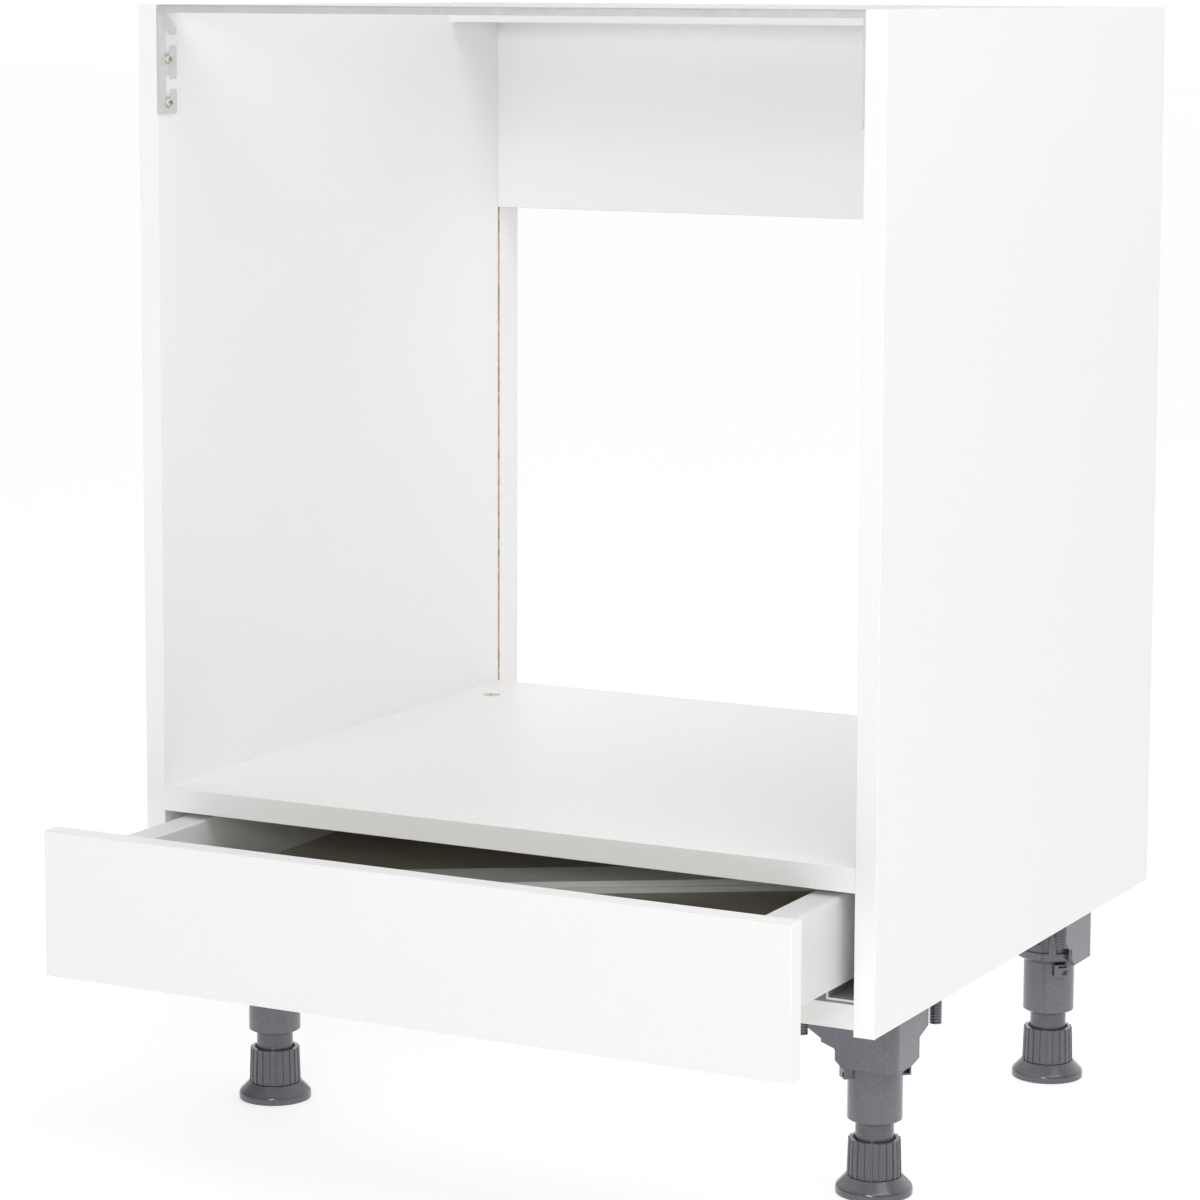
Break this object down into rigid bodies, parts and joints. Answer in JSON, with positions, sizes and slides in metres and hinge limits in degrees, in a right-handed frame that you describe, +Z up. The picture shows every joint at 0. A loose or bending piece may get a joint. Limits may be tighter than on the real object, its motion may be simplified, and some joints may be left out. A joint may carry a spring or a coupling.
{
  "type": "oven housing cabinet",
  "caption": "White base cabinet that houses a built-in oven, with an open niche over a shelf, a shallow metal-sided drawer below and height-adjustable plastic feet.",
  "frame": {"origin": "on the floor, under the middle of the cabinet with its drawer standing open as pictured", "axes": "+Z up; the front faces -Y; +X is to the right of someone facing the front"},
  "size_m": [0.6, 0.684, 0.848],
  "materials": {
    "white_melamine": "white melamine on chipboard, satin",
    "grey_drawer_board": "warm grey melamine on chipboard, satin",
    "white_edge_band": "white edge band, satin",
    "white_hardboard": "white lacquered hardboard",
    "beech": "plain",
    "zinc_fittings": "zinc plated",
    "galvanised_steel": "galvanised",
    "grey_drawer_steel": "light grey powder coat",
    "dark_grey_plastic": "moulded, fine grain"
  },
  "bodies": {
    "carcass": {"back_strip": "white_hardboard", "bottom_board": "white_melamine", "bottom_edge_band": "white_edge_band", "bracket_screws": "zinc_fittings", "cabinet_runner_left": "galvanised_steel", "cabinet_runner_right": "galvanised_steel", "cam_bolts": "zinc_fittings", "cam_locks": "zinc_fittings", "front_rail": "galvanised_steel", "left_side_edge_band": "white_edge_band", "left_side_panel": "white_melamine", "leg_bracket_front_left": "dark_grey_plastic", "leg_bracket_front_right": "dark_grey_plastic", "leg_bracket_rear_left": "dark_grey_plastic", "leg_bracket_rear_right": "dark_grey_plastic", "leg_tube_front_left": "dark_grey_plastic", "leg_tube_front_right": "dark_grey_plastic", "leg_tube_rear_left": "dark_grey_plastic", "leg_tube_rear_right": "dark_grey_plastic", "oven_shelf": "white_melamine", "rail_screws": "zinc_fittings", "rear_top_stretcher": "white_melamine", "right_side_edge_band": "white_edge_band", "right_side_panel": "white_melamine", "runner_screws": "zinc_fittings", "shelf_edge_band": "white_edge_band", "wooden_dowels": "beech"},
    "drawer": {"drawer_front": "white_melamine", "drawer_bottom": "grey_drawer_board", "drawer_back": "grey_drawer_board", "loose_trim_strip": "white_melamine", "drawer_front_screws": "zinc_fittings", "drawer_back_screws": "zinc_fittings", "drawer_side_left": "grey_drawer_steel", "drawer_runner_left": "galvanised_steel", "drawer_front_fixing_left": "galvanised_steel", "drawer_back_fixing_left": "galvanised_steel", "drawer_side_right": "grey_drawer_steel", "drawer_runner_right": "galvanised_steel", "drawer_front_fixing_right": "galvanised_steel", "drawer_back_fixing_right": "galvanised_steel"},
    "left_runner_middle": {"middle_runner_left": "galvanised_steel"},
    "left_lower_cage": {"lower_ball_cage_left": "galvanised_steel"},
    "left_upper_cage": {"upper_ball_cage_left": "galvanised_steel"},
    "right_runner_middle": {"middle_runner_right": "galvanised_steel"},
    "right_lower_cage": {"lower_ball_cage_right": "galvanised_steel"},
    "right_upper_cage": {"upper_ball_cage_right": "galvanised_steel"},
    "front_left_foot": {"foot_disc_front_left": "dark_grey_plastic"},
    "front_left_screw_sleeve": {"foot_sleeve_front_left": "dark_grey_plastic"},
    "front_right_foot": {"foot_disc_front_right": "dark_grey_plastic"},
    "front_right_screw_sleeve": {"foot_sleeve_front_right": "dark_grey_plastic"},
    "rear_left_foot": {"foot_disc_rear_left": "dark_grey_plastic"},
    "rear_left_screw_sleeve": {"foot_sleeve_rear_left": "dark_grey_plastic"},
    "rear_right_foot": {"foot_disc_rear_right": "dark_grey_plastic"},
    "rear_right_screw_sleeve": {"foot_sleeve_rear_right": "dark_grey_plastic"}
  },
  "joints": [
    {"name": "drawer_slide", "type": "slide", "parent": "carcass", "child": "drawer", "axis": [0, -1, 0], "range_m": [-0.116, 0.314]},
    {"name": "left_runner_middle_slide", "type": "slide", "parent": "carcass", "child": "left_runner_middle", "axis": [0, -1, 0], "range_m": [-0.05805, 0.15705]},
    {"name": "left_lower_cage_slide", "type": "slide", "parent": "carcass", "child": "left_lower_cage", "axis": [0, -1, 0], "range_m": [-0.02905, 0.07855]},
    {"name": "left_upper_cage_slide", "type": "slide", "parent": "carcass", "child": "left_upper_cage", "axis": [0, -1, 0], "range_m": [-0.08705, 0.23555]},
    {"name": "right_runner_middle_slide", "type": "slide", "parent": "carcass", "child": "right_runner_middle", "axis": [0, -1, 0], "range_m": [-0.05805, 0.15705]},
    {"name": "right_lower_cage_slide", "type": "slide", "parent": "carcass", "child": "right_lower_cage", "axis": [0, -1, 0], "range_m": [-0.02905, 0.07855]},
    {"name": "right_upper_cage_slide", "type": "slide", "parent": "carcass", "child": "right_upper_cage", "axis": [0, -1, 0], "range_m": [-0.08705, 0.23555]},
    {"name": "front_left_foot_height", "type": "slide", "parent": "carcass", "child": "front_left_foot", "axis": [0, 0, -1], "range_m": [-0.01, 0.025]},
    {"name": "front_left_sleeve_turn", "type": "hinge", "parent": "front_left_foot", "child": "front_left_screw_sleeve", "pos_m": [-0.255, -0.102, 0.027], "axis": [0, 0, -1], "range_deg": [-601, 1501]},
    {"name": "front_right_foot_height", "type": "slide", "parent": "carcass", "child": "front_right_foot", "axis": [0, 0, -1], "range_m": [-0.01, 0.025]},
    {"name": "front_right_sleeve_turn", "type": "hinge", "parent": "front_right_foot", "child": "front_right_screw_sleeve", "pos_m": [0.255, -0.102, 0.027], "axis": [0, 0, -1], "range_deg": [-601, 1501]},
    {"name": "rear_left_foot_height", "type": "slide", "parent": "carcass", "child": "rear_left_foot", "axis": [0, 0, -1], "range_m": [-0.01, 0.025]},
    {"name": "rear_left_sleeve_turn", "type": "hinge", "parent": "rear_left_foot", "child": "rear_left_screw_sleeve", "pos_m": [-0.255, 0.242, 0.027], "axis": [0, 0, -1], "range_deg": [-601, 1501]},
    {"name": "rear_right_foot_height", "type": "slide", "parent": "carcass", "child": "rear_right_foot", "axis": [0, 0, -1], "range_m": [-0.01, 0.025]},
    {"name": "rear_right_sleeve_turn", "type": "hinge", "parent": "rear_right_foot", "child": "rear_right_screw_sleeve", "pos_m": [0.255, 0.242, 0.027], "axis": [0, 0, -1], "range_deg": [-601, 1501]}
  ],
  "couplings": [
    {"joint": "left_runner_middle_slide", "follows": "drawer_slide", "ratio": 0.5},
    {"joint": "left_lower_cage_slide", "follows": "drawer_slide", "ratio": 0.25},
    {"joint": "left_upper_cage_slide", "follows": "drawer_slide", "ratio": 0.75},
    {"joint": "right_runner_middle_slide", "follows": "drawer_slide", "ratio": 0.5},
    {"joint": "right_lower_cage_slide", "follows": "drawer_slide", "ratio": 0.25},
    {"joint": "right_upper_cage_slide", "follows": "drawer_slide", "ratio": 0.75},
    {"joint": "front_left_sleeve_turn", "follows": "front_left_foot_height", "rad_per_m": 1047.2},
    {"joint": "front_right_sleeve_turn", "follows": "front_right_foot_height", "rad_per_m": 1047.2},
    {"joint": "rear_left_sleeve_turn", "follows": "rear_left_foot_height", "rad_per_m": 1047.2},
    {"joint": "rear_right_sleeve_turn", "follows": "rear_right_foot_height", "rad_per_m": 1047.2}
  ]
}
